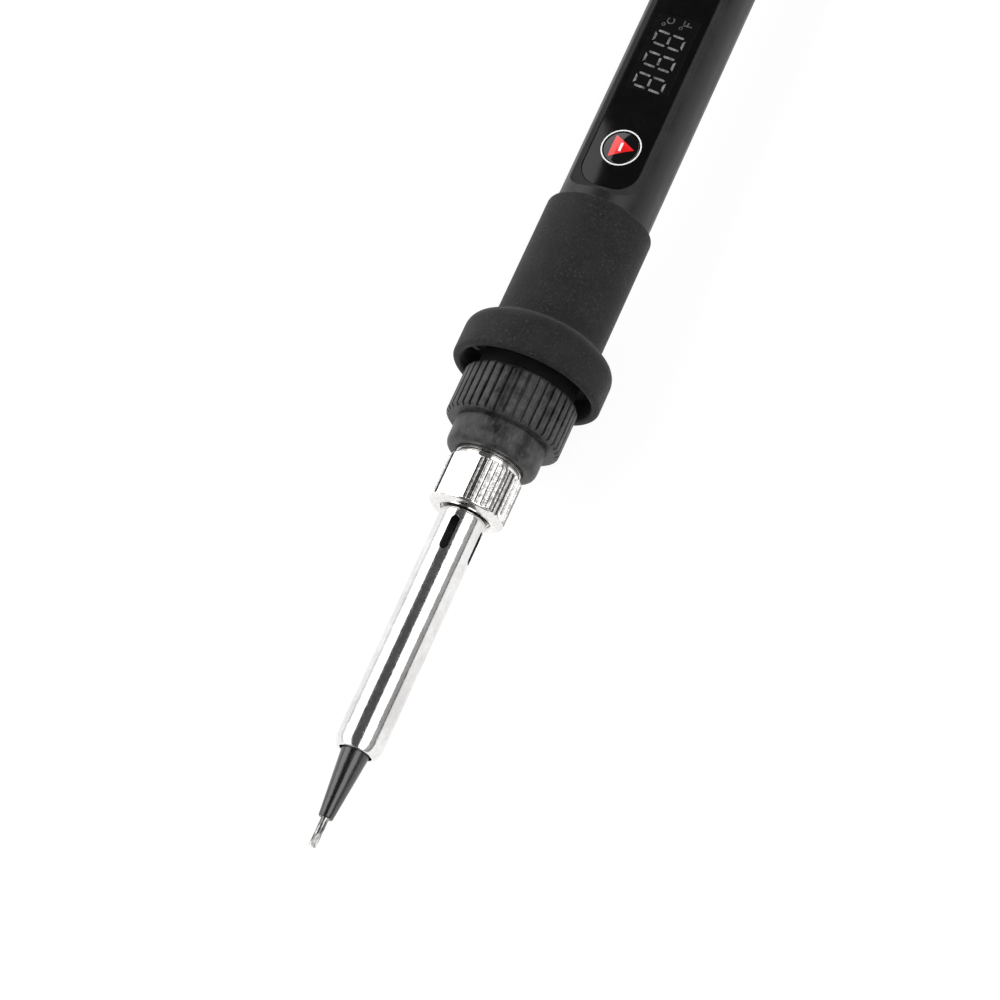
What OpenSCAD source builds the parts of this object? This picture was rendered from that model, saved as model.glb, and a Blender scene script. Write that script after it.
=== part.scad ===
// Temperature-controlled soldering iron with a digital panel, fine chisel tip and rubber grip.
// The tool lies along X, tip towards -X, with the panel facing +Z.
// Stations along X are counted from the front face of the barrel nut, and place() moves
// the origin to the middle of the grip's straight sleeve, on the tool's axis.

/* [Tip and barrel] */
// Outer radius of the steel barrel
barrel_r = 4; // [3.5:0.1:4.8]
// Length of the barrel in front of the nut
barrel_len = 43.5; // [36:0.5:54]
// Wall of the barrel
barrel_wall = 0.4; // [0.3:0.05:0.5]
// Width of the barrel's four vent slots
slot_w = 1.43; // [1:0.01:1.5]
// Length of the vent slots
slot_len = 6.05; // [4:0.05:8]
// Length of the tip's coated cone in front of the barrel
cone_len = 11.55; // [8:0.05:15]
// How far the barrel's mouth is turned in
mouth_turn = 1.25; // [1:0.05:1.5]
// Gap round the cone where it leaves the barrel
cone_gap = 0.365; // [0.15:0.005:0.6]
// Radius of the cone's front end
cone_end_r = 1.22; // [0.9:0.01:1.6]
// Radius of the tinned chisel bit
bit_r = 0.65; // [0.5:0.01:0.85]
// Length of the tinned chisel bit
bit_len = 5; // [4:0.1:7]
// Length of the chisel's ground faces
bevel_len = 2.2; // [1.5:0.1:3]
// How far the ground faces are turned from the panel's side
bevel_turn = 32; // [0:1:90]

/* [Nut and collar] */
// Height of the knurled barrel nut above the barrel
nut_rise = 2.55; // [2.2:0.05:3.2]
// Length of the nut's knurled body
nut_len = 8.8; // [7.4:0.1:11]
// Step from the barrel's radius to the thread between nut and bush
thread_step = 1; // [0.9:0.05:1.3]
// Number of knurl grooves round the nut
knurl_count = 40; // [30:1:50]
// Step from the thread to the bush's wide part, which the collar grips
bush_step = 0.75; // [0.65:0.05:1.2]
// Length of the smooth boss in front of the collar's ribs
boss_len = 5; // [4:0.1:7]
// Length of the ribbed collar
collar_len = 14; // [12:0.1:17]
// Length of the collar's ribbed part
rib_len = 8.8; // [7:0.1:9.5]
// Length of the collar that shows in front of the grip's rim
collar_show = 10.05; // [8:0.05:11]
// Number of ribs round the collar
rib_count = 40; // [30:1:48]

/* [Grip] */
// Wall of the rubber sleeve over the handle
grip_wall = 1.1; // [0.9:0.05:1.6]
// Length of the straight part of the sleeve
grip_len = 22.4; // [18:0.1:28]
// Height of the finger guard above the sleeve
guard_rise = 3.7; // [3.3:0.05:5]
// Width of the finger guard at its full radius
guard_width = 5.25; // [4:0.05:7]
// Wall of the finger guard's cup
cup_wall = 1.5; // [1.2:0.05:2]

/* [Handle and panel] */
// Outer radius of the handle tube
handle_r = 8.4; // [7.9:0.05:10.1]
// Wall of the handle tube
handle_wall = 1.5; // [1.2:0.05:1.8]
// Length of the handle tube behind the grip
handle_len = 101.7; // [96:0.1:125]
// Height of the panel's flat above the axis
flat_h = 5.6; // [5.4:0.05:5.9]
// Length of the glossy panel
panel_len = 55; // [52:0.5:62]
// Width of the glossy panel
panel_w = 10.46; // [10:0.02:11]
// Thickness of the glossy panel
panel_t = 0.8; // [0.7:0.05:0.9]
// Distance between the two buttons
button_pitch = 39; // [34:0.5:42]
// Radius of a button's cap
button_r = 3.14; // [2.8:0.02:3.6]
// How far a button moves when it is pressed
button_travel = 0.35; // [0.2:0.05:0.4]
// Length of the display cell
lcd_len = 15.6; // [13:0.1:18]
// Width of the display cell
lcd_w = 7.7; // [6.5:0.1:8]
// Distance between two digits
digit_pitch = 4.45; // [4:0.05:4.6]
// Height of a digit
digit_h = 5.8; // [5:0.1:6.2]

/* [Inside and rear] */
// Radius of the ceramic heater
heater_r = 1.95; // [1.6:0.05:2.3]
// Length of the heater in front of the nut
heater_front = 36; // [30:0.5:38]
// Width of the circuit board
board_w = 11.2; // [9.4:0.1:11.6]
// Thickness of the circuit board
board_t = 1.2; // [1:0.1:1.6]
// Radius of the cord inlet's bore
cord_r = 2.6; // [2.2:0.05:3.1]
// Length of the rear cap behind the handle tube
cap_len = 9; // [8:0.1:12]

/* [Hidden] */
$fn = 96;

eps = 0.01;
slip = 0.05;
thread_gap = 0.1;

// barrel, tip and nut
mouth_r = barrel_r - mouth_turn;
cone_r = mouth_r - cone_gap;
thread_r = barrel_r + thread_step;
bush_r = thread_r + bush_step;
nut_r = barrel_r + nut_rise;
neck_r = barrel_r - 0.1;
lip_r = thread_r - 0.2;
nut_wall = 1.2;
nut_tail = 1.1;
nut_hole_r = barrel_r + 0.4;
nut_flat = 0.906 * nut_r;
nut_flat_turn = 17;
nut_flat_half = 25;
nut_rim = 0.75;
knurl_depth = 0.35;
slot_turn = -4.5;
slot_start = 1.6;
tip_body_r = barrel_r - barrel_wall - 0.3;
tip_body_rear = 18;
heater_bore_r = heater_r + slip;

// bush and collar
bush_front = nut_wall + 1.2;
bush_shoulder = nut_len + nut_tail + 0.1;
boss_front = bush_shoulder + 0.4;
collar_front = boss_front + boss_len;
collar_rear = collar_front + collar_len;
rib_rear = collar_front + rib_len;
bush_rear = collar_front + 2.2;
nose_front = collar_front + 3.6;
bush_bore_r = heater_r + 1.35;

// grip
grip_r = handle_r + grip_wall;
guard_r = grip_r + guard_rise;
cup_r = guard_r - cup_wall;
collar_r = cup_r - 1.6;
boss_r = collar_r - 2.1;
boss_round = min(1.6, boss_r - bush_r - 0.4);
rim_x = collar_front + collar_show;
cup_floor = collar_rear + 0.8;
guard_end = max(rim_x + guard_width, cup_floor + 0.4);
sleeve_front = guard_end + 4.4;
sleeve_rear = sleeve_front + grip_len;
grip_round = 0.8;
grip_end = sleeve_rear + grip_round;
grip_mid = (sleeve_front + sleeve_rear) / 2;

// handle tube
bore_r = handle_r - handle_wall;
nose_r = handle_r - 0.9;
base_r = nose_r - 1.5;
skirt_r = nose_r + thread_gap + 1;
nose_rear = collar_rear + 0.3;
base_front = nose_front + 0.6;
base_rear = nose_rear - 1.4;
handle_rear = grip_end + handle_len;

// panel, display and buttons
pocket_front = grip_end + 1.75;
panel_front = pocket_front + 1.95;
panel_mid = panel_front + panel_len / 2;
pocket_len = 2 * (panel_mid - pocket_front);
pocket_corner = 4.3;
panel_corner = 3.7;
pocket_w = 2 * sqrt(pow(handle_r, 2) - pow(flat_h, 2)) + 1;
panel_top = flat_h - 0.1;
panel_seat = panel_top - panel_t;
floor_t = 0.8;
floor_z = panel_seat - floor_t;
lcd_y = 0.1;
lcd_top = panel_top - 0.02;
lcd_block = [lcd_len + 3, lcd_w + 1.5];
lcd_block_z = panel_seat - 0.1;
ink_depth = 0.08;
digit_w = 2.55;
digit_x = -1.6;
digit_y = 0.3;
stroke = 0.42;
slant = 0.12;
unit_x = 6.85;
unit_h = 1.5;
ring_in = button_r + 0.15;
ring_out = ring_in + 0.25;
ring_depth = 0.15;
dome_rise = 0.25;
dome_sag = 0.35;
dome_r = (pow(button_r, 2) + pow(dome_sag, 2)) / (2 * dome_sag);
mark_floor = panel_top - 0.2;
mark_size = 2.2;
button_flange_r = button_r + 0.42;
button_flange_top = panel_seat - 0.1;
button_flange_t = 0.5;
plunger_r = 1;

// board and what it carries
board_top = floor_z - 1.7;
board_bottom = board_top - board_t;
board_front = pocket_front - 2;
board_rear = handle_rear - 10;
switch_h = 1.1;
lead_r = 0.35;

// rear end
cap_rear = handle_rear + cap_len;
cap_wall = 4;
spigot_len = 7;
spigot_bore = bore_r - 1.3;
gland_r = cord_r + 1;
gland_flange_r = cord_r + 2;
gland_tail = 4;
shelf_z = -cord_r - 0.1;
clamp_x = handle_rear - 3.5;
clamp_len = 4;
clamp_r = cord_r + 0.7;
clamp_screw_y = (clamp_r + spigot_bore) / 2 - 0.1;
clamp_head_r = min(0.9, (spigot_bore - clamp_r) / 2 - 0.15);
clamp_shank_r = 0.5;
clamp_leg_top = 0.6;
screw_x = handle_rear - 3.5;
screw_head = 1;
screw_bite = 2.3;

// ---------- shared shapes ----------

function arc(cr, cx, r, from, to, n = 8) =
    [for (i = [0:n]) let (a = from + (to - from) * i / n) [cr + r * cos(a), cx + r * sin(a)]];

// Everything is drawn at its station and then moved to the grip's middle.
module place() {
    translate([-grip_mid, 0, 0]) children();
}

// A solid of revolution about X from [radius, station] points.
module turned(points) {
    rotate([0, 90, 0]) rotate_extrude() polygon(points);
}

module rod_x(from, to, r) {
    translate([from, 0, 0]) rotate([0, 90, 0]) cylinder(h = to - from, r = r);
}

module rounded(len, wid, r) {
    square([len - 2 * r, wid], center = true);
    square([len, wid - 2 * r], center = true);
    for (sx = [-1, 1], sy = [-1, 1])
        translate([sx * (len / 2 - r), sy * (wid / 2 - r)]) circle(r);
}

module slab(x, y, z0, z1, len, wid) {
    translate([x - len / 2, y - wid / 2, z0]) cube([len, wid, z1 - z0]);
}

// Turns what is drawn at the top of the tool by an angle from +Z towards +Y.
module around(angle) {
    rotate([-angle, 0, 0]) children();
}

// A straight wire between two points.
module wire(a, b, r) {
    d = b - a;
    len = norm(d);
    translate(a) rotate([0, acos(d[2] / len), atan2(d[1], d[0])]) cylinder(h = len, r = r);
}

// ---------- tip and barrel ----------

module soldering_tip() {
    bit_end = barrel_len + cone_len + bit_len;
    cone_end = barrel_len + cone_len;
    shoulder = barrel_len - 1.9;
    color("#2b2b2b") place() difference() {
        turned([
            [0, -bit_end], [bit_r, -bit_end], [bit_r, -cone_end], [cone_end_r - 0.12, -cone_end],
            [cone_end_r, -cone_end + 0.12], [cone_r, -barrel_len], [cone_r + 0.1, -shoulder],
            [tip_body_r, -shoulder + 0.4], [tip_body_r, -tip_body_rear], [0, -tip_body_rear]
        ]);
        rod_x(-heater_front - 0.5, -tip_body_rear + eps, heater_bore_r);
        for (side = [0, 180]) around(side - bevel_turn)
            translate([-bit_end, 0, 0.12])
                rotate([0, -atan2(bit_r - 0.12, bevel_len), 0])
                    translate([-1, -2, 0]) cube([bevel_len + 2, 4, 2]);
    }
}

module barrel() {
    bend_r = 3.9;
    bend = 31.6;
    lip_bend_r = 0.35;
    end_x = -barrel_len;
    bend_x = end_x + lip_bend_r * (1 - sin(bend)) + bend_r * sin(bend);
    lip_cr = barrel_r - bend_r + (bend_r - lip_bend_r) * cos(bend);
    color("#d8dadc") place() difference() {
        turned(concat(
            [[barrel_r - barrel_wall, 0]],
            [[barrel_r - barrel_wall, bend_x]],
            arc(barrel_r - bend_r, bend_x, bend_r - barrel_wall, 0, -bend * 0.8, 5),
            [[mouth_r, end_x + 0.25]],
            [[mouth_r, end_x]],
            arc(lip_cr, end_x + lip_bend_r, lip_bend_r, -90, -bend, 5),
            arc(barrel_r - bend_r, bend_x, bend_r, -bend, 0, 8),
            [[barrel_r, -slip]],
            [[neck_r, -slip]],
            [[neck_r, nut_wall + 0.1]],
            [[lip_r, nut_wall + 0.1]],
            [[lip_r, nut_wall + 0.9]],
            [[barrel_r - barrel_wall, nut_wall + 0.9]]
        ));
        for (i = [0:3]) around(slot_turn + 90 * i)
            translate([-slot_start - slot_len / 2, 0, 0])
                linear_extrude(barrel_r + 1) rounded(slot_len, slot_w, slot_w / 2 - eps);
    }
}

module barrel_nut() {
    color("#cfd2d4") place() difference() {
        turned([
            [nut_hole_r, 0.25], [nut_hole_r + 0.25, 0], [nut_r - 1.25, 0], [nut_r - 0.2, 0.45],
            [nut_r, nut_rim], [nut_r, nut_len - 0.35], [nut_r - 0.45, nut_len],
            [bush_r - 0.1, nut_len], [bush_r - 0.1, nut_len + nut_tail - 0.2],
            [bush_r - 0.3, nut_len + nut_tail], [thread_r, nut_len + nut_tail],
            [thread_r, nut_wall], [nut_hole_r, nut_wall]
        ]);
        for (i = [0:knurl_count - 1])
            if (min([for (f = [0, 180, 360]) abs(360 * i / knurl_count - f)]) > nut_flat_half - 2)
                around(nut_flat_turn + 360 * i / knurl_count)
                    translate([nut_rim - 0.1, 0, nut_r]) knurl_groove();
        for (side = [0, 180]) around(nut_flat_turn + side)
            translate([nut_rim, -nut_r, nut_flat]) cube([nut_len, 2 * nut_r, nut_r]);
    }
}

// A V-shaped groove that starts with a sloping end and runs out at the nut's rear.
module knurl_groove() {
    rotate([90, 0, 90]) linear_extrude(nut_len)
        polygon([[-0.38, 0.1], [0.38, 0.1], [0.08, -knurl_depth], [-0.08, -knurl_depth]]);
}

// ---------- bush and collar ----------

module thread_bush() {
    color("#c9a64a") place() difference() {
        union() {
            rod_x(bush_front, bush_shoulder + eps, thread_r - thread_gap);
            rod_x(bush_shoulder, bush_rear, bush_r);
        }
        rod_x(bush_front - 1, bush_rear + 1, bush_bore_r);
    }
}

module ribbed_collar() {
    groove_w = 0.45;
    groove_depth = 0.5;
    chamfer = 0.5;
    color("#3a3b3d") place() difference() {
        turned(concat(
            [[bush_r, boss_front + 0.3]],
            [[bush_r + 0.3, boss_front]],
            arc(boss_r - boss_round, boss_front + boss_round, boss_round, -90, 0, 8),
            [[boss_r, collar_front]],
            [[collar_r - chamfer, collar_front]],
            [[collar_r, collar_front + chamfer]],
            [[collar_r, rib_rear - 0.4]],
            [[collar_r - 0.4, rib_rear]],
            [[skirt_r, rib_rear]],
            [[skirt_r, collar_rear]],
            [[nose_r + thread_gap, collar_rear]],
            [[nose_r + thread_gap, nose_front - 0.3]],
            [[bush_r, nose_front - 0.3]]
        ));
        for (i = [0:rib_count - 1]) around(360 * (i + 0.5) / rib_count)
            translate([collar_front + chamfer, -groove_w / 2, collar_r - groove_depth])
                cube([rib_len, groove_w, 1]);
    }
}

// ---------- heater ----------

module heater_rod() {
    color("#e9e6dd") place()
        turned([
            [0, -heater_front], [heater_r - 0.3, -heater_front], [heater_r, -heater_front + 0.3],
            [heater_r, base_rear + 2], [0, base_rear + 2]
        ]);
}

module heater_base() {
    color("#d9d2bf") place() difference() {
        rod_x(base_front, base_rear, base_r);
        rod_x(base_front - 1, base_rear + 1, heater_r);
        for (i = [0:3]) around(45 + 90 * i)
            translate([0, 0, (heater_r + base_r) / 2]) rod_x(base_front - 1, base_rear + 1, 0.5);
    }
}

module heater_leads() {
    start = base_rear + 2;
    under = board_bottom - lead_r - slip;
    color("#b9bcc0") place() for (i = [0:3]) {
        side = i - 1.5;
        high = (i % 2 == 0) ? 0.8 : -0.8;
        wire([start, side * 0.75, high], [board_front + 2, side * 2, under], lead_r);
    }
}

module earth_spring() {
    ring_x = nose_front + 0.1;
    color("#c2b280") place() {
        difference() {
            rod_x(ring_x, ring_x + 0.4, base_r - 0.8);
            rod_x(ring_x - 1, ring_x + 1, heater_r + 1.2);
        }
        for (i = [0:2]) around(120 * i)
            translate([bush_rear + 0.2, -0.6, heater_r + 1.35])
                cube([ring_x - bush_rear - 0.2 + eps, 1.2, 0.35]);
    }
}

// ---------- grip and handle ----------

module grip_sleeve() {
    color("#262626") place() {
        turned(concat(
            [[handle_r, cup_floor]],
            [[cup_r, cup_floor]],
            [[cup_r, rim_x + 0.4]],
            arc(cup_r + 0.4, rim_x + 0.4, 0.4, 180, 270, 4),
            arc(guard_r - 0.6, rim_x + 0.6, 0.6, -90, 0, 4),
            arc(guard_r - 2.9, guard_end, 2.9, 0, 72, 8),
            arc(grip_r + 1.2, sleeve_front + 0.1, 1.2, 252, 180, 6),
            arc(grip_r - grip_round, sleeve_rear, grip_round, 0, 90, 6),
            [[handle_r, grip_end]]
        ));
        around(40) translate([rim_x + 0.2, -0.7, collar_r + 0.3])
            cube([cup_floor - rim_x - 0.1, 1.4, cup_r - collar_r - 0.1]);
    }
}

module handle_tube() {
    rail_h = 1;
    color("#2e2f31") place() difference() {
        union() {
            rod_x(nose_front, nose_rear + eps, nose_r);
            rod_x(nose_rear, handle_rear, handle_r);
        }
        rod_x(nose_front - 1, base_rear, base_r);
        difference() {
            rod_x(base_rear - eps, handle_rear + 1, bore_r);
            slab(panel_mid, 0, floor_z, handle_r, pocket_len + 3, 2 * handle_r);
            for (side = [-1, 1])
                slab((board_front + board_rear) / 2, side * (board_w / 2 + 1), board_bottom - rail_h,
                    board_bottom, board_rear - board_front, 4);
        }
        translate([panel_mid, 0, flat_h])
            linear_extrude(handle_r) rounded(pocket_len, pocket_w, pocket_corner);
        translate([panel_mid, 0, panel_seat])
            linear_extrude(handle_r) rounded(panel_len + 0.1, panel_w + 0.1, panel_corner + slip);
        slab(panel_mid, lcd_y, floor_z - 1, panel_seat + eps, lcd_block[0] + 0.4, lcd_block[1] + 0.4);
        for (side = [-1, 1])
            translate([panel_mid + side * button_pitch / 2, 0, floor_z - 1])
                cylinder(h = floor_t + 1 + eps, r = button_flange_r + 0.15);
        translate([screw_x, 0, -handle_r - 1]) cylinder(h = handle_r, r = 1.05);
        translate([screw_x, 0, -handle_r - 1]) cylinder(h = 1 + screw_head, r = 1.95);
    }
}

// ---------- panel ----------

module display_panel() {
    color("#0c0c0e") place() difference() {
        translate([panel_mid, 0, panel_seat]) linear_extrude(panel_t) difference() {
            rounded(panel_len, panel_w, panel_corner);
            translate([0, lcd_y]) square([lcd_len + 0.1, lcd_w + 0.1], center = true);
            for (side = [-1, 1])
                translate([side * button_pitch / 2, 0]) circle(button_r + slip);
        }
        button_rings_solid();
    }
}

module button_rings_solid() {
    for (side = [-1, 1])
        translate([panel_mid + side * button_pitch / 2, 0, panel_top - ring_depth])
            difference() {
                cylinder(h = ring_depth, r = ring_out);
                translate([0, 0, -1]) cylinder(h = 2, r = ring_in);
            }
}

module button_rings() {
    color("white") place() button_rings_solid();
}

// One digit of seven separate bars, leaning towards +X at the top.
function leaning(points, cx) =
    [for (p = points) [cx + p[0] + slant * p[1], digit_y + p[1]]];

module bar_flat(cx, y, len) {
    tilt = (y > 0) ? -1 : (y < 0) ? 1 : 0;
    half = stroke / 2;
    polygon(leaning([
        [-len / 2 - tilt * half, y - half], [len / 2 + tilt * half, y - half],
        [len / 2 - tilt * half, y + half], [-len / 2 + tilt * half, y + half]
    ], cx));
}

module bar_upright(cx, x, y0, y1) {
    half = stroke / 2;
    polygon(leaning([
        [x - half, y0 + half], [x, y0], [x + half, y0 + half],
        [x + half, y1 - half], [x, y1], [x - half, y1 - half]
    ], cx));
}

module digit(cx) {
    top = (digit_h - stroke) / 2;
    for (y = [-top, 0, top]) bar_flat(cx, y, digit_w - 1.1);
    for (side = [-1, 1]) {
        bar_upright(cx, side * digit_w / 2, 0.28, top - 0.18);
        bar_upright(cx, side * digit_w / 2, -top + 0.18, -0.28);
    }
}

module digits_flat() {
    for (i = [-1:1]) digit(digit_x + i * digit_pitch);
}

// Small degree ring, with a C above and an F below it.
module degree(x, y) {
    translate([x, y]) difference() {
        circle(0.36);
        circle(0.2);
    }
}

module units_flat() {
    line = 0.24;
    mark_r = 0.66;
    degree(unit_x - 1, unit_h + 1);
    degree(unit_x - 1.05, -0.75);
    translate([unit_x, unit_h]) difference() {
        circle(mark_r + 0.06);
        circle(mark_r - line + 0.06);
        translate([0.3, -0.3]) square([1, 0.6]);
    }
    translate([unit_x - 0.55, -2.6]) {
        square([line, 1.7]);
        translate([0, 1.7 - line]) square([1.1, line]);
        translate([0, 0.75]) square([0.9, line]);
    }
}

module inked(offset_z) {
    translate([panel_mid, 0, lcd_top - ink_depth]) linear_extrude(ink_depth + offset_z) children();
}

module lcd_module() {
    color("#17181a") place() difference() {
        union() {
            slab(panel_mid, lcd_y, lcd_block_z - eps, lcd_top, lcd_len, lcd_w);
            slab(panel_mid, lcd_y, board_top + 0.7, lcd_block_z, lcd_block[0], lcd_block[1]);
        }
        inked(1) digits_flat();
        inked(1) units_flat();
    }
}

module lcd_segments() {
    color("#9a9c9e") place() inked(0) digits_flat();
}

module unit_marks() {
    color("#7c7e80") place() inked(0) units_flat();
}

module lcd_connector() {
    color("#d98a9b") place() for (side = [-1, 1])
        slab(panel_mid, lcd_y + side * (lcd_block[1] / 2 - 1.4), board_top, board_top + 0.7,
            lcd_block[0] - 2, 1.6);
}

// ---------- buttons ----------

// The cap's domed solid, at the origin of its own button.
module button_dome() {
    intersection() {
        translate([0, 0, button_flange_top]) cylinder(h = 2, r = button_r);
        translate([0, 0, panel_top + dome_rise - dome_r]) sphere(dome_r, $fn = 200);
    }
}

module triangle_flat(dir) {
    polygon([
        [-mark_size, -dir * 0.75 * mark_size], [mark_size, -dir * 0.75 * mark_size],
        [0, dir * 1.08 * mark_size]
    ]);
}

module sign_flat(dir) {
    square([1.7, 0.44], center = true);
    if (dir > 0) square([0.44, 1.7], center = true);
}

module cap(dir) {
    difference() {
        union() {
            button_dome();
            translate([0, 0, button_flange_top - button_flange_t])
                cylinder(h = button_flange_t, r = button_flange_r);
        }
        translate([0, 0, mark_floor]) linear_extrude(2) triangle_flat(dir);
    }
}

module triangle(dir) {
    intersection() {
        button_dome();
        translate([0, 0, mark_floor]) linear_extrude(2) difference() {
            triangle_flat(dir);
            sign_flat(dir);
        }
    }
}

module sign_mark(dir) {
    intersection() {
        button_dome();
        translate([0, 0, mark_floor]) linear_extrude(2) sign_flat(dir);
    }
}

module plunger() {
    bottom = board_top + 0.2 + button_travel;
    translate([0, 0, bottom])
        cylinder(h = button_flange_top - button_flange_t - bottom, r = plunger_r);
}

module at_button(side) {
    place() translate([panel_mid + side * button_pitch / 2, 0, 0]) children();
}

module minus_button() { color("#101012") at_button(-1) cap(-1); }
module minus_triangle() { color("#d8262b") at_button(-1) triangle(-1); }
module minus_sign() { color("white") at_button(-1) sign_mark(-1); }
module minus_plunger() { color("#b43a2e") at_button(-1) plunger(); }
module plus_button() { color("#101012") at_button(1) cap(1); }
module plus_triangle() { color("#d8262b") at_button(1) triangle(1); }
module plus_sign() { color("white") at_button(1) sign_mark(1); }
module plus_plunger() { color("#b43a2e") at_button(1) plunger(); }

// ---------- board ----------

module tact_switches() {
    size = 4.2;
    color("#3f4144") for (side = [-1, 1]) at_button(side) difference() {
        slab(0, 0, board_top, board_top + switch_h, size, size);
        translate([0, 0, board_top + 0.1]) cylinder(h = switch_h, r = plunger_r + slip);
    }
}

module circuit_board() {
    color("#1f6b3a") place()
        slab((board_front + board_rear) / 2, 0, board_bottom, board_top,
            board_rear - board_front, board_w);
}

module controller_chip() {
    chip_l = 8;
    leg_pitch = 1;
    color("#1b1b1d") place() {
        slab(panel_mid, 0, board_bottom - 1.2, board_bottom - 0.1, chip_l, 4);
        for (i = [-3:3], side = [-1, 1])
            slab(panel_mid + i * leg_pitch, side * 2.4, board_bottom - 0.7, board_bottom, 0.4, 0.9);
    }
}

module triac() {
    triac_x = board_rear - 25;
    color("#232326") place() {
        slab(triac_x, 0, board_bottom - 4.2, board_bottom - 0.4, 9, 8);
        for (side = [-1:1]) slab(triac_x - 5, side * 2.54, board_bottom - 2, board_bottom, 1.2, 0.8);
        slab(triac_x + 5.2, 0, board_bottom - 1.5, board_bottom - 0.3, 3, 8);
    }
}

module filter_capacitor() {
    can_r = 2.8;
    can_x = board_rear - 16;
    can_z = board_bottom - can_r - 0.2;
    color("#24406b") place() translate([0, 0, can_z]) {
        rod_x(can_x, can_x + 9, can_r);
        for (side = [-1, 1])
            translate([can_x - 0.9, side * 1.2, 0])
                cylinder(h = can_r + 0.2, r = 0.3);
        for (side = [-1, 1])
            translate([0, side * 1.2, 0]) rod_x(can_x - 0.9, can_x + eps, 0.3);
    }
}

module resistors() {
    body_r = 0.85;
    first = panel_mid + 9;
    color("#c9a77a") place() for (i = [0:3])
        translate([first + 3.6 * i, 0, board_bottom - body_r - 0.1]) {
            rotate([90, 0, 0]) cylinder(h = 4, r = body_r, center = true);
            for (side = [-1, 1])
                translate([0, side * 2.6, 0]) cylinder(h = body_r + 0.1, r = 0.25);
            rotate([90, 0, 0]) cylinder(h = 5.2, r = 0.25, center = true);
        }
}

module terminal_block() {
    block_h = 3.2;
    color("#2f7d4f") place() difference() {
        slab(board_rear - 5, 0, board_top, board_top + block_h, 8, 7);
        for (side = [-1:1])
            translate([board_rear - 5, side * 2.2, board_top + 0.6]) cylinder(h = block_h, r = 0.8);
    }
}

// ---------- rear end ----------

module rear_cap() {
    spigot_front = handle_rear - spigot_len;
    round_r = 3;
    color("#2b2c2e") place() difference() {
        union() {
            difference() {
                turned(concat(
                    [[0, spigot_front], [bore_r, spigot_front], [bore_r, handle_rear],
                        [handle_r, handle_rear], [handle_r, handle_rear + 1]],
                    arc(handle_r - 1.2 - round_r, cap_rear - round_r, round_r, 0, 90, 6),
                    [[0, cap_rear]]
                ));
                rod_x(spigot_front - 1, cap_rear - cap_wall, spigot_bore);
            }
            intersection() {
                rod_x(spigot_front, handle_rear, spigot_bore + 0.2);
                slab(handle_rear - spigot_len / 2, 0, -bore_r, shelf_z, spigot_len, 2 * bore_r);
            }
        }
        rod_x(cap_rear - cap_wall - 1, cap_rear + 1, gland_r);
        for (side = [-1, 1])
            translate([clamp_x, side * clamp_screw_y, shelf_z - 1.6]) cylinder(h = 3, r = clamp_shank_r);
        translate([screw_x, 0, -bore_r - 1]) cylinder(h = 1 + screw_bite + 0.1, r = 1);
    }
}

module cap_screw() {
    sunk = 0.3;
    head_z = -handle_r + sunk;
    color("#8d9094") place() translate([screw_x, 0, head_z]) difference() {
        union() {
            cylinder(h = screw_head - sunk, r = 1.85);
            cylinder(h = handle_wall - sunk + screw_bite, r = 1);
        }
        for (turn = [0, 90]) rotate([0, 0, turn])
            translate([-1.2, -0.2, -eps]) cube([2.4, 0.4, 0.4]);
    }
}

module cord_gland() {
    inner = cap_rear - cap_wall;
    color("#1e1e1f") place() turned(concat(
        [[cord_r, inner - 1.4]],
        [[gland_flange_r - 0.3, inner - 1.4]],
        [[gland_flange_r, inner - 1.1]],
        [[gland_flange_r, inner]],
        [[gland_r, inner]],
        [[gland_r, cap_rear]],
        [[gland_flange_r, cap_rear]],
        [[gland_flange_r, cap_rear + 1.1]],
        [[gland_flange_r - 0.4, cap_rear + 1.5]],
        [[gland_r + 0.3, cap_rear + 1.5]],
        [[gland_r, cap_rear + gland_tail]],
        [[cord_r, cap_rear + gland_tail]]
    ));
}

module cord_clamp() {
    color("#36383b") place() difference() {
        intersection() {
            union() {
                slab(clamp_x, 0, shelf_z, clamp_leg_top, clamp_len, 2 * bore_r);
                rod_x(clamp_x - clamp_len / 2, clamp_x + clamp_len / 2, clamp_r);
            }
            rod_x(clamp_x - clamp_len, clamp_x + clamp_len, spigot_bore - 0.1);
            slab(clamp_x, 0, shelf_z, bore_r, clamp_len, 2 * bore_r);
        }
        rod_x(clamp_x - clamp_len, clamp_x + clamp_len, cord_r);
        slab(clamp_x, 0, shelf_z - 1, 0, clamp_len + 2, 2 * cord_r);
        for (side = [-1, 1])
            translate([clamp_x, side * clamp_screw_y, shelf_z - 1])
                cylinder(h = 8, r = clamp_shank_r + slip);
    }
}

module clamp_screws() {
    shank = clamp_leg_top - shelf_z + 1.4;
    color("#9a9da1") place() for (side = [-1, 1])
        translate([clamp_x, side * clamp_screw_y, clamp_leg_top]) {
            translate([0, 0, -shank]) cylinder(h = shank + eps, r = clamp_shank_r);
            difference() {
                cylinder(h = 0.7, r = clamp_head_r);
                translate([-1.3, -0.12, 0.4]) cube([2.6, 0.24, 1]);
            }
        }
}

soldering_tip();
barrel();
barrel_nut();
thread_bush();
ribbed_collar();
heater_rod();
heater_base();
heater_leads();
earth_spring();
grip_sleeve();
handle_tube();
display_panel();
button_rings();
lcd_module();
lcd_segments();
unit_marks();
lcd_connector();
minus_button();
minus_triangle();
minus_sign();
minus_plunger();
plus_button();
plus_triangle();
plus_sign();
plus_plunger();
tact_switches();
circuit_board();
controller_chip();
triac();
filter_capacitor();
resistors();
terminal_block();
rear_cap();
cap_screw();
cord_gland();
cord_clamp();
clamp_screws();
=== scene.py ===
import math

import bmesh
import bpy
from mathutils import Matrix, Vector


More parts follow.
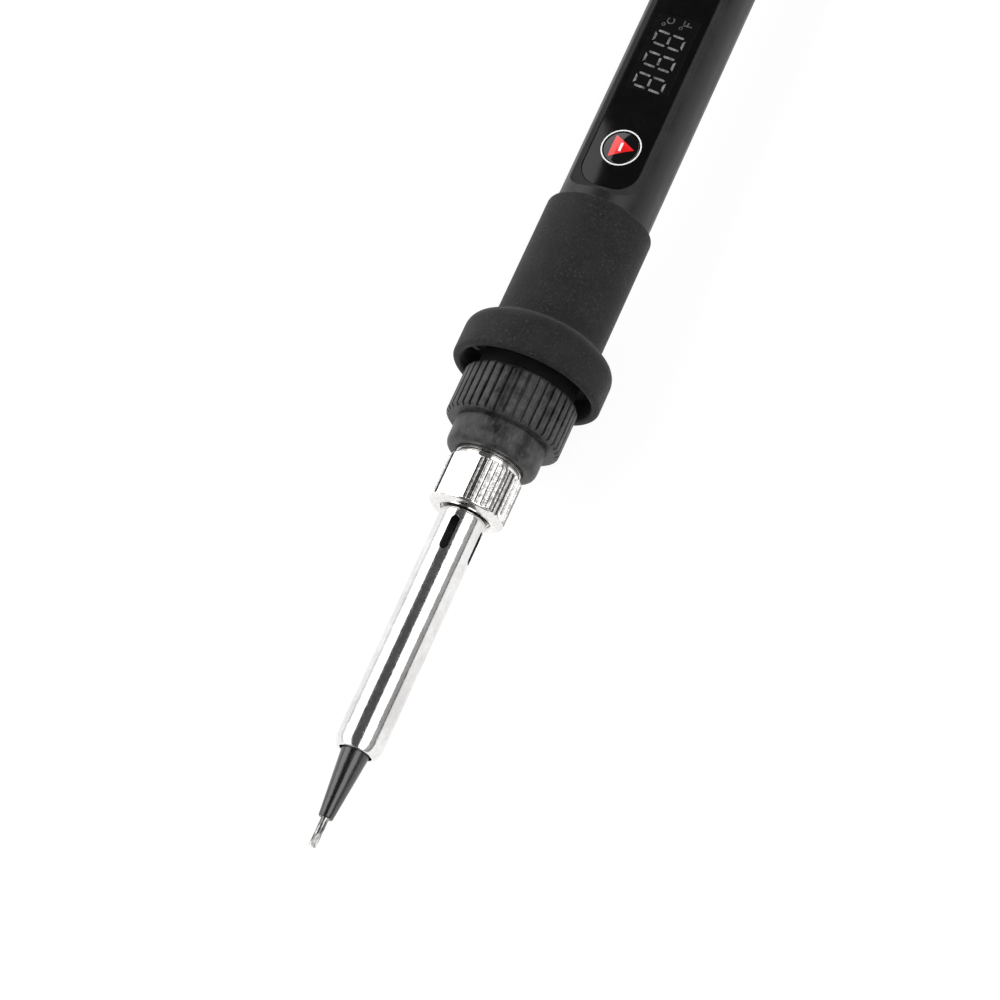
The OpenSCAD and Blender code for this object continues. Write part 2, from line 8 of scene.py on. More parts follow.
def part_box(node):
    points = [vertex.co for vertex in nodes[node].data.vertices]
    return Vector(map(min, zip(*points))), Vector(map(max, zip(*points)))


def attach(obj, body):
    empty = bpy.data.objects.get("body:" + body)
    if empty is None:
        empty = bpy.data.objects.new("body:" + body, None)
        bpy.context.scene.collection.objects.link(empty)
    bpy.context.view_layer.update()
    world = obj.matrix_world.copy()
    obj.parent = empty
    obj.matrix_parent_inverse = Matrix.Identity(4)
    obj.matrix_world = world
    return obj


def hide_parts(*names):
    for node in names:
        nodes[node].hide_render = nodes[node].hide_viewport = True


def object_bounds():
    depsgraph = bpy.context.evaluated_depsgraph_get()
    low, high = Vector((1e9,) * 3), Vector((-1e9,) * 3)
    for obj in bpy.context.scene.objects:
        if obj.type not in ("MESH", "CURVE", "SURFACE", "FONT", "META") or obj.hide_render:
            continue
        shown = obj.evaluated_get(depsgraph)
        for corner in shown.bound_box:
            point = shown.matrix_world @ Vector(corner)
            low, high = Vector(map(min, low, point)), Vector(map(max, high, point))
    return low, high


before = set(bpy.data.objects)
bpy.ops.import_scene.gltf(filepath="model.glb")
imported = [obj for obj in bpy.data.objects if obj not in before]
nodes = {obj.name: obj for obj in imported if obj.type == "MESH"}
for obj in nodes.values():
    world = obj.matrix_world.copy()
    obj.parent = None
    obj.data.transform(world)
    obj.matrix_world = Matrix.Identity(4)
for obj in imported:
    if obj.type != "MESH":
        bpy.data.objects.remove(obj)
cad_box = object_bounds()

MM = 0.001
NUT_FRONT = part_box("barrel_nut")[0].x

# Shared sizes in mm. Stations run along X from the nut's front face, heights up from the axis.
TIP_END = -60.05
BARREL_R = 4.0
R_HANDLE, FLAT = 8.4, 5.6
POCKET = (60.05, 118.95)
PANEL_MID = 89.5
CELL_Y = 0.1
PANEL_TOP = 5.5
PRINT_LOW, PRINT_TOP = 5.42, 5.508
CAP_SCREW = 156.5
RIB_PITCH = 9  # degrees, of the knurl and of the collar's ribs

# The buttons' places along the panel, and which way their triangles point.
BUTTONS = {"minus": (-19.5, -1), "plus": (19.5, 1)}

# The studio, in metres and radiance.
AMBIENT = 0.09
FLOOR_GAP, FLOOR_SIZE = 0.0001, 6.0
LIGHT_DISTANCE, LIGHT_LENGTH, LIGHT_X = 0.5, 1.55, 0.1


def station(s):
    """World X in metres of a station in mm, counted from the nut's front face."""
    return NUT_FRONT + s * MM


def deg(a):
    return math.radians(a)


# ---------- mesh helpers ----------

def new_object(name, verts, faces, sharp=35):
    mesh = bpy.data.meshes.new(name)
    mesh.from_pydata([tuple(v) for v in verts], [], faces)
    obj = bpy.data.objects.new(name, mesh)
    bpy.context.scene.collection.objects.link(obj)
    finish_mesh(obj, sharp)
    return obj


def finish_mesh(obj, sharp=35):
    bm = bmesh.new()
    bm.from_mesh(obj.data)
    bmesh.ops.remove_doubles(bm, verts=bm.verts, dist=1e-7)
    bmesh.ops.recalc_face_normals(bm, faces=bm.faces)
    bm.to_mesh(obj.data)
    bm.free()
    obj.data.shade_smooth()
    obj.data.set_sharp_from_angle(angle=deg(sharp))


def skin(name, rings, loop=False, sharp=35):
    """A closed surface through rings of the same number of points, looped or capped with fans."""
    n = len(rings[0])
    verts = [p for ring in rings for p in ring]
    faces = []
    last = len(rings) if loop else len(rings) - 1
    for i in range(last):
        a, b = i * n, ((i + 1) % len(rings)) * n
        for j in range(n):
            k = (j + 1) % n
            faces.append((a + j, a + k, b + k, b + j))
    if not loop:
        for start, flip in ((0, True), ((len(rings) - 1) * n, False)):
            ring = verts[start:start + n]
            verts.append([sum(p[c] for p in ring) / n for c in range(3)])
            top = len(verts) - 1
            for j in range(n):
                k = (j + 1) % n
                face = (start + j, start + k, top)
                faces.append(face[::-1] if flip else face)
    return new_object(name, verts, faces, sharp)


def soft(points, steps=4):
    """Rounds a chain of (station, radius[, fillet]) points."""
    n = len(points)
    out = []
    for i, p in enumerate(points):
        f = p[2] if len(p) > 2 else 0
        if not f:
            out.append((p[0], p[1]))
            continue
        b = Vector(p[:2])
        u = Vector(points[i - 1][:2]) - b
        v = Vector(points[(i + 1) % n][:2]) - b
        lu, lv = u.length, v.length
        u.normalize()
        v.normalize()
        half = u.angle(v) / 2
        reach = min(f / math.tan(half), 0.49 * lu, 0.49 * lv)
        r = reach * math.tan(half)
        centre = b + (u + v).normalized() * (r / math.sin(half))
        a, c = b + u * reach - centre, b + v * reach - centre
        sweep = a.angle(c)
        for k in range(steps + 1):
            t = k / steps
            w = (a * math.sin((1 - t) * sweep) + c * math.sin(t * sweep)) / math.sin(sweep)
            out.append(tuple(centre + w))
    return out


def arc(cr, cs, r, a0, a1, n):
    """Points (station, radius) on an arc; angle 0 points away from the axis, 90 towards +X."""
    turns = [deg(a0 + (a1 - a0) * i / n) for i in range(n + 1)]
    return [(cs + r * math.sin(a), cr + r * math.cos(a)) for a in turns]


def polar(s, r, a):
    """Point at a station and radius; a in degrees from +Z towards +Y."""
    return (station(s), r * math.sin(deg(a)) * MM, r * math.cos(deg(a)) * MM)


def lathe(name, profile, n=192, sharp=35):
    """Solid of revolution about X. A profile that doesn't end at radius 0 is a loop."""
    poles = profile[0][1] == 0
    used = profile[1:-1] if poles else profile
    rings = [[polar(s, r, 360 * j / n) for j in range(n)] for s, r in used]
    return skin(name, rings, not poles, sharp)


def lathe_z(name, cx, cy, profile, n=128, sharp=35, loop=False):
    """Solid of revolution about a vertical line. profile holds (z, radius)."""
    turns = [math.tau * j / n for j in range(n)]
    rings = [
        [(station(cx) + r * math.cos(a) * MM, (cy + r * math.sin(a)) * MM, z * MM) for a in turns]
        for z, r in profile
    ]
    return skin(name, rings, loop, sharp)


def rounded_rect(length, width, r, n=10, cx=0.0, cy=0.0):
    pts = []
    for qx, qy, start in ((1, 1, 0), (-1, 1, 90), (-1, -1, 180), (1, -1, 270)):
        for k in range(n + 1):
            a = deg(start + 90 * k / n)
            x = cx + qx * (length / 2 - r) + r * math.cos(a)
            y = cy + qy * (width / 2 - r) + r * math.sin(a)
            pts.append((x, y))
    return pts


def circle(cx, cy, r, n=96):
    turns = [math.tau * k / n for k in range(n)]
    return [(cx + r * math.cos(a), cy + r * math.sin(a)) for a in turns]


def plate(name, loops, z0, z1, bevel=0.0, steps=3):
    """A flat plate of 2D loops (outline, then holes) in mm about the panel's centre."""
    curve = bpy.data.curves.new(name, "CURVE")
    curve.dimensions = "2D"
    curve.fill_mode = "BOTH"
    for pts in loops:
        spline = curve.splines.new("POLY")
        spline.points.add(len(pts) - 1)
        for q, p in zip(spline.points, pts):
            q.co = (p[0] * MM, p[1] * MM, 0, 1)
        spline.use_cyclic_u = True
    curve.extrude = (z1 - z0) / 2 * MM - bevel * MM
    curve.bevel_depth = bevel * MM
    curve.bevel_resolution = steps
    curve.offset = -bevel * MM
    tmp = bpy.data.objects.new(name + "_curve", curve)
    bpy.context.scene.collection.objects.link(tmp)
    bpy.context.view_layer.update()
    mesh = bpy.data.meshes.new_from_object(tmp.evaluated_get(bpy.context.evaluated_depsgraph_get()))
    bpy.data.objects.remove(tmp)
    mesh.name = name
    mesh.transform(Matrix.Translation((station(PANEL_MID), 0, (z0 + z1) / 2 * MM)))
    obj = bpy.data.objects.new(name, mesh)
    bpy.context.scene.collection.objects.link(obj)
    finish_mesh(obj)
    return obj


def block(name, s0, s1, y0, y1, z0, z1, bevel):
    mid = (s0 + s1) / 2 - PANEL_MID
    outline = rounded_rect(s1 - s0, y1 - y0, max(bevel, 0.02), 3, mid, (y0 + y1) / 2)
    return plate(name, [outline], z0, z1, bevel * 0.8, 2)


def flatten(obj):
    """Keeps level faces flat shaded, so that reflections on them stay whole."""
    for face in obj.data.polygons:
        face.use_smooth = abs(face.normal.z) < 0.9999
    for m in list(obj.modifiers):
        obj.modifiers.remove(m)


def bake(obj):
    mesh = bpy.data.meshes.new_from_object(obj.evaluated_get(bpy.context.evaluated_depsgraph_get()))
    old, obj.data = obj.data, mesh
    obj.modifiers.clear()
    bpy.data.meshes.remove(old)


def combine(obj, cutters, operation="DIFFERENCE", sharp=35):
    for cutter in cutters:
        m = obj.modifiers.new("combine", "BOOLEAN")
        m.operation = operation
        m.solver = "EXACT"
        m.object = cutter
        bpy.context.view_layer.update()
        bake(obj)
        bpy.data.objects.remove(cutter)
    finish_mesh(obj, sharp)
    return obj


def turn_x(obj, a):
    """Turns a mesh about the X axis by an angle from +Z towards +Y."""
    obj.data.transform(Matrix.Rotation(-deg(a), 4, "X"))
    return obj


# ---------- materials ----------

SOCKETS = {
    "color": "Base Color", "rough": "Roughness", "metal": "Metallic",
    "spec": "Specular IOR Level", "coat": "Coat Weight", "coat_rough": "Coat Roughness",
    "sheen": "Sheen Weight", "sheen_rough": "Sheen Roughness",
}


class Graph:
    """A short way to write shader nodes."""

    def __init__(self, name):
        self.mat = bpy.data.materials.new(name)
        self.mat.use_nodes = True
        self.tree = self.mat.node_tree
        self.bsdf = self.tree.nodes["Principled BSDF"]
        self.coord = self.tree.nodes.new("ShaderNodeTexCoord").outputs["Object"]

    def node(self, kind, inputs=(), **settings):
        n = self.tree.nodes.new(kind)
        for k, v in settings.items():
            setattr(n, k, v)
        for k, v in dict(inputs).items():
            self.put(n.inputs[k], v)
        return n

    def put(self, socket, value):
        if isinstance(value, bpy.types.NodeSocket):
            self.tree.links.new(value, socket)
        else:
            socket.default_value = value

    def noise(self, size, detail=4.0, rough=0.55, stretch=None, distortion=0.0):
        """Noise of a feature size in mm, drawn out along the axes by stretch."""
        vec = self.coord
        if stretch:
            vec = self.node("ShaderNodeMapping", {"Vector": vec, "Scale": stretch}).outputs[0]
        return self.node("ShaderNodeTexNoise", {
            "Vector": vec, "Scale": 1 / (size * MM), "Detail": detail, "Roughness": rough,
            "Distortion": distortion,
        }).outputs[0]

    def ramp(self, fac, *stops):
        n = self.node("ShaderNodeValToRGB", {"Fac": fac})
        el = n.color_ramp.elements
        while len(el) < len(stops):
            el.new(0.5)
        for e, (pos, c) in zip(el, stops):
            e.position = pos
            e.color = (c, c, c, 1) if isinstance(c, float) else (*c, 1)
        return n.outputs[0]

    def math(self, op, a, b=0.0):
        return self.node("ShaderNodeMath", {0: a, 1: b}, operation=op).outputs[0]

    def spread(self, fac, lo, hi, a=0.3, b=0.7):
        """Maps a..b of fac to lo..hi."""
        return self.node("ShaderNodeMapRange", {
            "Value": fac, "From Min": a, "From Max": b, "To Min": lo, "To Max": hi,
        }).outputs[0]

    def mix(self, fac, a, b):
        n = self.node("ShaderNodeMix", {"Factor": fac}, data_type="RGBA")
        for i, v in ((6, a), (7, b)):
            self.put(n.inputs[i], (*v, 1) if isinstance(v, tuple) else v)
        return n.outputs[2]

    def bump(self, *layers):
        """Stacks bumps given as (height, depth in mm)."""
        normal = None
        for height, depth in layers:
            inputs = {"Height": height, "Distance": depth * MM, "Strength": 1.0}
            if normal is not None:
                inputs["Normal"] = normal
            normal = self.node("ShaderNodeBump", inputs).outputs[0]
        self.put(self.bsdf.inputs["Normal"], normal)

    def set(self, **values):
        for k, v in values.items():
            self.put(self.bsdf.inputs[SOCKETS[k]], v)
        return self.mat


def grey(v, warm=0.0):
    return (v * (1 + warm), v, v * (1 - warm))


def metal(name, tone, rough, grain, depth, warm=0.01):
    """Polished or satin metal with a faintly cloudy tone and a grain drawn out along X."""
    g = Graph(name)
    cloud = g.noise(6, 3)
    fine = g.noise(grain, 5, 0.6, (0.25, 1, 1))
    color = g.ramp(cloud, (0.3, grey(tone * 0.94, warm)), (0.7, grey(tone, warm / 2)))
    g.bump((fine, depth))
    return g.set(color=color, rough=g.spread(g.noise(grain * 3, 4), *rough), metal=1.0)


def plastic(name, dark, light, rough, grain=0.2, depth=0.006, cloud=3.0, spec=0.5):
    """Moulded plastic with a fine grain, and a cloudy tone and roughness."""
    g = Graph(name)
    patch = g.noise(cloud, 4, 0.6)
    fine = g.noise(grain, 3, 0.6)
    both = g.math("ADD", g.math("MULTIPLY", patch, 0.6), g.math("MULTIPLY", fine, 0.4))
    color = g.ramp(both, (0.38, dark), (0.62, light))
    g.bump((fine, depth))
    return g.set(color=color, rough=g.spread(patch, *rough), spec=spec)


def barrel_steel():
    """Polished tube, faintly warm, with a ring of short forming marks before its mouth."""
    g = Graph("barrel_steel")
    xyz = g.node("ShaderNodeSeparateXYZ", {0: g.coord}).outputs
    grain = g.noise(0.34, 5, 0.7, (0.4, 1, 1))
    cloud = g.math("ADD", g.math("MULTIPLY", g.noise(5, 3), 0.5), g.math("MULTIPLY", grain, 0.5))
    angle = g.math("ARCTAN2", xyz[1], xyz[2])
    ticks = g.math("SINE", g.math("MULTIPLY", angle, 110.0))
    near = g.math("ABSOLUTE", g.math("SUBTRACT", xyz[0], station(-40.6)))
    ring = g.spread(near, 1.0, 0.0, 0.0003, 0.0010)
    marks = g.math("MULTIPLY", ticks, ring)
    g.bump((grain, 0.005), (marks, 0.0015))
    color = g.ramp(cloud, (0.38, (0.66, 0.645, 0.64)), (0.6, (0.86, 0.855, 0.85)))
    return g.set(color=color, rough=g.spread(grain, 0.07, 0.2), metal=1.0)


def nut_nickel(name="nut_nickel", dark=0.72, light=0.88, bead=0.0035):
    """Bright nickel with fine turning marks that bead the knurl."""
    g = Graph(name)
    xyz = g.node("ShaderNodeSeparateXYZ", {0: g.coord}).outputs
    turned = g.math("SINE", g.math("MULTIPLY", xyz[0], math.tau / (0.42 * MM)))
    grain = g.noise(0.34, 5, 0.7)
    g.bump((turned, bead), (grain, 0.006))
    color = g.ramp(g.noise(0.6, 4, 0.7), (0.38, grey(dark, 0.03)), (0.6, grey(light, 0.01)))
    return g.set(color=color, rough=g.spread(grain, 0.07, 0.2), metal=1.0)


def tip_coat():
    """Black plating with a grainy, streaked shine."""
    g = Graph("tip_coat")
    speck = g.noise(0.28, 4, 0.75, (0.6, 1, 1))
    streak = g.noise(0.5, 3, 0.6, (0.12, 1, 1))
    color = g.ramp(speck, (0.45, 0.002), (0.75, 0.02))
    g.bump((speck, 0.02), (streak, 0.01))
    return g.set(color=color, rough=g.spread(streak, 0.14, 0.26), spec=1.0)


def tinned():
    g = Graph("tinned_bit")
    film = g.noise(0.7, 3, 0.5, (0.5, 1, 1))
    color = g.ramp(film, (0.38, (0.13, 0.128, 0.125)), (0.62, (0.5, 0.5, 0.49)))
    g.bump((film, 0.03))
    return g.set(color=color, rough=g.spread(film, 0.1, 0.3), metal=1.0)


def rubber(name="grip_rubber", dark=0.0005, light=0.02, speck=0.045):
    """Matt rubber with a fine grain and pale dust specks."""
    g = Graph(name)
    grain = g.noise(0.55, 5, 0.8)
    cloud = g.noise(4, 3)
    cells = g.node("ShaderNodeTexVoronoi", {"Vector": g.coord, "Scale": 1 / (0.42 * MM)})
    dots = g.spread(cells.outputs["Distance"], 1.0, 0.0, 0.15, 0.5)
    draw = g.node("ShaderNodeSeparateColor", {0: cells.outputs["Color"]}).outputs[0]
    chosen = g.spread(draw, 0.0, 1.0, 0.35, 1.0)
    chosen = g.math("MULTIPLY", chosen, g.spread(g.noise(5, 2), 0.25, 1.0, 0.4, 0.6))
    dust = g.math("MULTIPLY", dots, chosen)
    base = g.ramp(grain, (0.35, dark), (0.7, light))
    base = g.mix(g.spread(cloud, 0.0, 0.5), base, grey(light))
    color = g.mix(dust, base, grey(speck))
    g.bump((grain, 0.11), (dust, 0.02))
    rough = g.spread(grain, 0.55, 0.75)
    return g.set(color=color, rough=rough, spec=0.2, sheen=0.1, sheen_rough=0.3)


def collar_plastic():
    """Dark grey nylon, mottled and dusty, with short scuffs."""
    g = Graph("collar_plastic")
    patch = g.noise(2.0, 6, 0.7)
    grain = g.noise(0.3, 3, 0.7)
    scuff = g.noise(0.5, 4, 0.7, (0.15, 1.0, 1.0), 0.6)
    base = g.ramp(patch, (0.38, 0.004), (0.66, 0.06))
    color = g.mix(g.spread(scuff, 0.0, 0.6, 0.56, 0.72), base, grey(0.09))
    g.bump((patch, 0.12), (grain, 0.04))
    return g.set(color=color, rough=g.spread(patch, 0.32, 0.55), spec=0.36)


def gloss(name, tone, rough, spec=0.5, crown=False):
    """Glossy moulded surface with faint smudges.

    A crown lets the front end fall away at its far side.
    """
    g = Graph(name)
    smudge = g.noise(3.5, 4, 0.6, None, 0.4)
    wave = g.noise(9, 2)
    layers = [(wave, 0.0015), (g.noise(0.3, 2), 0.0002)]
    if crown:
        xyz = g.node("ShaderNodeSeparateXYZ", {0: g.coord}).outputs
        over = g.math("MAXIMUM", g.math("DIVIDE", xyz[1], MM), 0.0)
        front = g.spread(xyz[0], 1.0, 0.0, station(64), station(79))
        fall = g.math("MULTIPLY", g.math("MULTIPLY", g.math("MULTIPLY", over, over), front), -1.0)
        layers.insert(0, (fall, 0.009))
    g.bump(*layers)
    color = g.ramp(smudge, (0.3, grey(tone * 0.75)), (0.7, grey(tone)))
    return g.set(color=color, rough=g.spread(smudge, *rough), spec=spec)


def ink(name, low, high, size=0.8):
    """Printed ink under a thin clear coat."""
    g = Graph(name)
    n = g.noise(size, 4, 0.6)
    color = g.ramp(n, (0.35, low), (0.65, high))
    g.bump((g.noise(0.15, 3), 0.001))
    return g.set(color=color, rough=g.spread(n, 0.2, 0.3), coat=0.5, coat_rough=0.04)


def board_mask():
    """Green solder mask over copper tracks."""
    g = Graph("board_green")
    tracks = g.node("ShaderNodeTexBrick", {
        "Vector": g.coord, "Scale": 180.0, "Mortar Size": 0.03, "Color1": (1, 1, 1, 1),
        "Color2": (0.8, 0.8, 0.8, 1), "Mortar": (0, 0, 0, 1),
    }).outputs["Color"]
    fac = g.node("ShaderNodeSeparateColor", {0: tracks}).outputs[0]
    color = g.mix(fac, (0.012, 0.06, 0.025), (0.02, 0.13, 0.05))
    g.bump((fac, 0.01), (g.noise(0.3, 3), 0.002))
    return g.set(color=color, rough=g.spread(g.noise(1.0, 3), 0.25, 0.4))


def banded_resistor():
    g = Graph("resistor_body")
    xyz = g.node("ShaderNodeSeparateXYZ", {0: g.coord}).outputs
    wave = g.math("SINE", g.math("MULTIPLY", xyz[1], 4200.0))
    bands = g.spread(wave, 0.0, 1.0, 0.62, 0.75)
    clay = g.ramp(g.noise(0.6, 3), (0.3, (0.5, 0.34, 0.18)), (0.7, (0.62, 0.45, 0.27)))
    color = g.mix(bands, clay, (0.16, 0.03, 0.01))
    g.bump((g.noise(0.25, 3), 0.004))
    return g.set(color=color, rough=g.spread(g.noise(0.8, 3), 0.3, 0.45))


M = {
    "barrel": barrel_steel(),
    "nut": nut_nickel(),
    "knurl": nut_nickel("knurl_nickel", 0.3, 0.75, 0.011),
    "tin": tinned(),
    "tip": tip_coat(),
    "collar": collar_plastic(),
    "rubber": rubber(),
    "handle": plastic(
        "handle_plastic", grey(0.002), grey(0.008), (0.36, 0.5), 0.34, 0.016, 4.0, 0.38,
    ),
    "cap": plastic(
        "cap_plastic", grey(0.002), grey(0.008), (0.4, 0.55), 0.36, 0.02, 3.0, 0.38,
    ),
    "gland": rubber("gland_rubber", 0.004, 0.012, 0.05),
    "panel": gloss("panel_gloss", 0.0025, (0.05, 0.11), 0.3, True),
    "cell": gloss("display_cell", 0.003, (0.03, 0.08)),
    "segments": ink("segment_ink", grey(0.05), grey(0.24), 1.1),
    "units": ink("unit_ink", grey(0.03), grey(0.08), 1.0),
    "ring": ink("ring_white", grey(0.8), grey(0.9)),
    "white": ink("sign_white", grey(0.82), grey(0.92)),
    "red": ink("triangle_red", (0.7, 0.003, 0.005), (0.86, 0.01, 0.012), 3.0),
    "button": gloss("button_gloss", 0.004, (0.04, 0.09)),
    "bush": metal("bush_nickel", 0.72, (0.15, 0.3), 0.3, 0.006),
    # Painted shade: a near-black matt plastic put on surfaces that lie in shade, the tip's body
    # inside the barrel and the collar's skirt inside the grip's cup.
    "bore": plastic("painted_shade_black", grey(0.002), grey(0.006), (0.55, 0.7), 0.3, 0.02, 2.0, 0.2),
    "ceramic": plastic(
        "heater_ceramic", grey(0.03), grey(0.06), (0.55, 0.7), 0.3, 0.006, 2.0, 0.3,
    ),
    "base": plastic(
        "base_ceramic", grey(0.5, 0.08), grey(0.6, 0.08), (0.6, 0.75), 0.3, 0.01, 2.0,
    ),
    "wire": metal("lead_wire", 0.7, (0.25, 0.4), 0.3, 0.004),
    "spring": metal("spring_brass", 0.66, (0.2, 0.35), 0.3, 0.004, 0.3),
    "connector": plastic(
        "connector_rubber", (0.55, 0.2, 0.25), (0.66, 0.27, 0.33), (0.6, 0.75), 0.3, 0.01,
    ),
    "plunger": plastic(
        "plunger_plastic", (0.4, 0.05, 0.03), (0.5, 0.08, 0.05), (0.35, 0.5), 0.3,
    ),
    "switch": plastic("switch_body", grey(0.04), grey(0.07), (0.35, 0.5), 0.2),
    "board": board_mask(),
    "chip": plastic("chip_plastic", grey(0.01), grey(0.02), (0.5, 0.65), 0.15, 0.01),
    "can": plastic(
        "capacitor_sleeve", (0.01, 0.04, 0.12), (0.015, 0.06, 0.17), (0.25, 0.4), 0.5, 0.003,
    ),
    "resistor": banded_resistor(),
    "terminal": plastic("terminal_green", (0.02, 0.16, 0.06), (0.03, 0.22, 0.09), (0.35, 0.5), 0.3),
    "clamp": plastic("clamp_plastic", grey(0.02), grey(0.035), (0.4, 0.55), 0.25),
    "scorched": metal("scorched_steel", 0.06, (0.5, 0.7), 0.5, 0.02),
    "screw": metal("screw_steel", 0.55, (0.2, 0.4), 0.25, 0.005),
}


def dress(obj, material, body, slot, *stands_for):
    """Gives a piece its material and body, and hides the CAD nodes it stands for; the slot is not
    used.
    """
    obj.data.materials.clear()
    obj.data.materials.append(M[material])
    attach(obj, body)
    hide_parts(*stands_for)
    even = obj.modifiers.new("even_normals", "WEIGHTED_NORMAL")
    even.keep_sharp = True
    return obj


# ---------- camera ----------

def make_camera():
    az, el, roll = deg(-44.23), deg(61.22), deg(-24.94)
    aim, distance = Vector((-41.2, -4.0, -1.2)) * MM, 0.4902
    back = Vector((math.sin(az) * math.cos(el), -math.cos(az) * math.cos(el), math.sin(el)))
    flat_right = Vector((math.cos(az), math.sin(az), 0))
    flat_up = Vector((-math.sin(az) * math.sin(el), math.cos(az) * math.sin(el), math.cos(el)))
    right = flat_right * math.cos(roll) + flat_up * math.sin(roll)
    up = flat_up * math.cos(roll) - flat_right * math.sin(roll)
    data = bpy.data.cameras.new("camera")
    data.lens, data.sensor_width = 108, 36
    data.clip_start, data.clip_end = 0.01, 20
    cam = bpy.data.objects.new("camera", data)
    bpy.context.scene.collection.objects.link(cam)
    turn = Matrix((right, up, back)).transposed().to_4x4()
    cam.matrix_world = Matrix.Translation(aim + back * distance) @ turn
    bpy.context.scene.camera = cam


# ---------- floor and light ----------

def make_stage():
    scene = bpy.context.scene
    scene.view_settings.view_transform = "Standard"
    world = bpy.data.worlds.new("studio")
    scene.world = world
    world.use_nodes = True
    tree = world.node_tree
    tree.nodes.clear()
    out = tree.nodes.new("ShaderNodeOutputWorld")
    seen, felt = tree.nodes.new("ShaderNodeBackground"), tree.nodes.new("ShaderNodeBackground")
    seen.inputs[0].default_value = (1, 1, 1, 1)
    felt.inputs[0].default_value = (AMBIENT, AMBIENT, AMBIENT, 1)
    mix, path = tree.nodes.new("ShaderNodeMixShader"), tree.nodes.new("ShaderNodeLightPath")
    tree.links.new(path.outputs["Is Camera Ray"], mix.inputs[0])
    tree.links.new(felt.outputs[0], mix.inputs[1])
    tree.links.new(seen.outputs[0], mix.inputs[2])
    tree.links.new(mix.outputs[0], out.inputs[0])

    low = cad_box[0].z - FLOOR_GAP
    square = ((-1, -1), (1, -1), (1, 1), (-1, 1))
    corners = [(x * FLOOR_SIZE, y * FLOOR_SIZE, low) for x, y in square]
    floor = new_object("floor", corners, [(0, 1, 2, 3)])
    g = Graph("floor_white")
    g.set(color=(0.9, 0.9, 0.9, 1), rough=0.9, spec=0.0)
    glow = g.node("ShaderNodeEmission", {"Strength": 1.1})
    both = g.node("ShaderNodeMixShader", {0: 0.78, 1: g.bsdf.outputs[0], 2: glow.outputs[0]})
    g.tree.links.new(both.outputs[0], g.tree.nodes["Material Output"].inputs[0])
    floor.data.materials.append(g.mat)

    softbox("far_side", 26.0, 70.0, 2.3)
    softbox("far_low", 71.0, 91.0, 0.8)
    softbox("near_side", -61.5, -23.5, 2.3)
    softbox("near_low", -84.0, -62.5, 0.3)


def softbox(name, a0, a1, radiance):
    """A long strip along the tool, between two angles from straight up towards +Y."""
    d = LIGHT_DISTANCE
    p = [Vector((0, math.sin(deg(a)) * d, math.cos(deg(a)) * d)) for a in (a0, a1)]
    mid = (p[0] + p[1]) / 2
    width = (p[1] - p[0]).length
    data = bpy.data.lights.new(name, "AREA")
    data.shape = "RECTANGLE"
    data.size, data.size_y = LIGHT_LENGTH, width
    data.energy = radiance * math.pi * LIGHT_LENGTH * width
    obj = bpy.data.objects.new(name, data)
    bpy.context.scene.collection.objects.link(obj)
    across = (p[1] - p[0]).normalized()
    ahead = Vector((1, 0, 0))
    back = ahead.cross(across)
    if back.dot(mid) < 0:
        across = -across
        back = -back
    turn = Matrix((ahead, across, back)).transposed().to_4x4()
    obj.matrix_world = Matrix.Translation(mid + Vector((LIGHT_X, 0, 0))) @ turn
    obj.visible_camera = False


make_camera()
make_stage()


# ---------- tip ----------

def make_tip():
    bit_r, edge, bevel_len, bevel_turn = 0.65, 0.12, 2.2, 32
    body = [
        (-48.6, 0), (-55.05, 0.9), (-55.05, 1.1, 0.1), (-54.9, 1.22, 0.12), (-43.5, 2.385),
        (-41.6, 2.485, 0.3), (-41.2, 3.3, 0.2), (-18.0, 3.3, 0.2), (-18.0, 2.0), (-36.5, 2.0),
        (-36.5, 0),
    ]
    cone = lathe("tip_cone", soft(body, 5), 160)
    dress(cone, "tip", "barrel_unit", "tip_coating", "soldering_tip")
    # Painted shade: the part of the cone inside the barrel, seen through the slots, is given the
    # near-black material so that it reads as shaded.
    cone.data.materials.append(M["bore"])
    for face in cone.data.polygons:
        face.material_index = 1 if face.center.x > station(-42.6) else 0

    profile = soft([
        (TIP_END, 0), (TIP_END, bit_r, 0.15), (-55.4, bit_r), (-55.0, 0.74, 0.2), (-54.8, 0.74),
        (-54.8, 0),
    ], 5)
    profile = [(TIP_END, 0), *profile[1:-1], (-54.8, 0)]
    dense = []
    for (s0, r0), (s1, r1) in zip(profile, profile[1:]):
        n = max(1, int(abs(s1 - s0) / 0.25))
        dense += [(s0 + (s1 - s0) * k / n, r0 + (r1 - r0) * k / n) for k in range(n)]
    bit = lathe("tip_bit", [*dense, profile[-1]], 72)
    tilt = math.atan2(bit_r - edge, bevel_len)
    cutters = []
    for side in (0, 180):
        ring = [(-1.5, -2), (4.0, -2), (4.0, 2), (-1.5, 2)]
        low = [Vector((x * MM, y * MM, 0)) for x, y in ring]
        high = [v + Vector((0, 0, 2 * MM)) for v in low]
        cutter = skin("bevel_cut", [low, high])
        cutter.data.transform(Matrix.Rotation(-tilt, 4, "Y"))
        cutter.data.transform(Matrix.Translation((station(TIP_END), 0, edge * MM)))
        cutters.append(turn_x(cutter, side - bevel_turn))
    combine(bit, cutters, sharp=25)
    soften = bit.modifiers.new("soften", "BEVEL")
    soften.width = 0.04 * MM
    soften.segments = 2
    soften.limit_method = "ANGLE"
    soften.angle_limit = deg(25)
    bake(bit)
    finish_mesh(bit, 40)
    dress(bit, "tin", "barrel_unit", "tip_coating", "soldering_tip")


# ---------- barrel and nut ----------

def slot_cutter(angle):
    """A slot with rounded ends that widens a little at the outer face."""
    length, width, end_r, mid = 6.05, 1.43, 0.71, -4.625
    rings = []
    for z, grow in ((2.5, 0.0), (3.86, 0.0), (3.93, 0.02), (3.99, 0.07), (4.06, 0.16), (5.0, 1.1)):
        pts = rounded_rect(length + 2 * grow, width + 2 * grow, end_r + grow, 12, mid, 0)
        rings.append([(station(x), y * MM, z * MM) for x, y in pts])
    return turn_x(skin("slot_cut", rings), angle)


